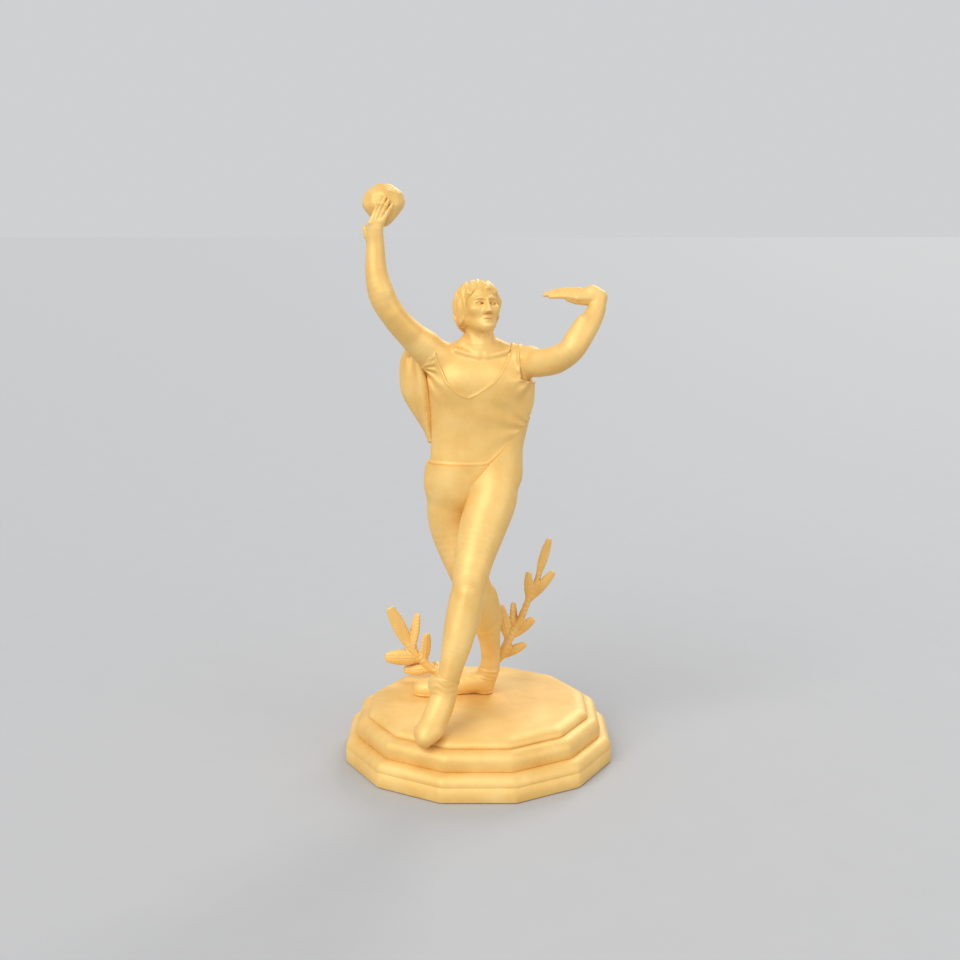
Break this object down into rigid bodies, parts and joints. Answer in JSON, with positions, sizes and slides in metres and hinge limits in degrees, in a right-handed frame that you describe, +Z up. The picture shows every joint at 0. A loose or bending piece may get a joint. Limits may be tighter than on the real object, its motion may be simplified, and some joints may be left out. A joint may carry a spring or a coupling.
{
  "type": "figure trophy",
  "caption": "Gold cast trophy: a striding figure in a tunic holds up a ball, on a stepped faceted plinth with laurel branches.",
  "frame": {"origin": "centre of the underside of the baize pad, on the surface the trophy stands on", "axes": "+Z up, -Y the way the figure faces, +X towards the figure's left hand"},
  "size_m": [0.1368, 0.1368, 0.2929],
  "materials": {
    "gold_casting": "satin lacquered gold plate",
    "steel_fixing": "zinc plated",
    "iron_ballast": "black paint",
    "baize": "dark green felt"
  },
  "bodies": {
    "root": {"lower_tier": "gold_casting", "middle_tier": "gold_casting", "upper_tier": "gold_casting", "head": "gold_casting", "torso": "gold_casting", "hips": "gold_casting", "cape": "gold_casting", "right_arm": "gold_casting", "right_hand": "gold_casting", "left_arm": "gold_casting", "left_hand": "gold_casting", "ball": "gold_casting", "front_thigh": "gold_casting", "front_shin": "gold_casting", "front_shoe": "gold_casting", "rear_thigh": "gold_casting", "rear_shin": "gold_casting", "rear_shoe": "gold_casting", "left_branch": "gold_casting", "right_branch": "gold_casting", "plinth_screws": "steel_fixing", "rear_foot_stud": "steel_fixing", "stud_washer": "steel_fixing", "stud_nut": "steel_fixing", "front_toe_pin": "steel_fixing", "neck_dowel": "steel_fixing", "waist_dowels": "steel_fixing", "shoulder_dowels": "steel_fixing", "wrist_dowels": "steel_fixing", "hip_dowels": "steel_fixing", "knee_dowels": "steel_fixing", "ankle_dowels": "steel_fixing", "ball_pin": "steel_fixing", "cape_pins": "steel_fixing", "ballast_disc": "iron_ballast", "baize_pad": "baize"}
  },
  "joints": []
}
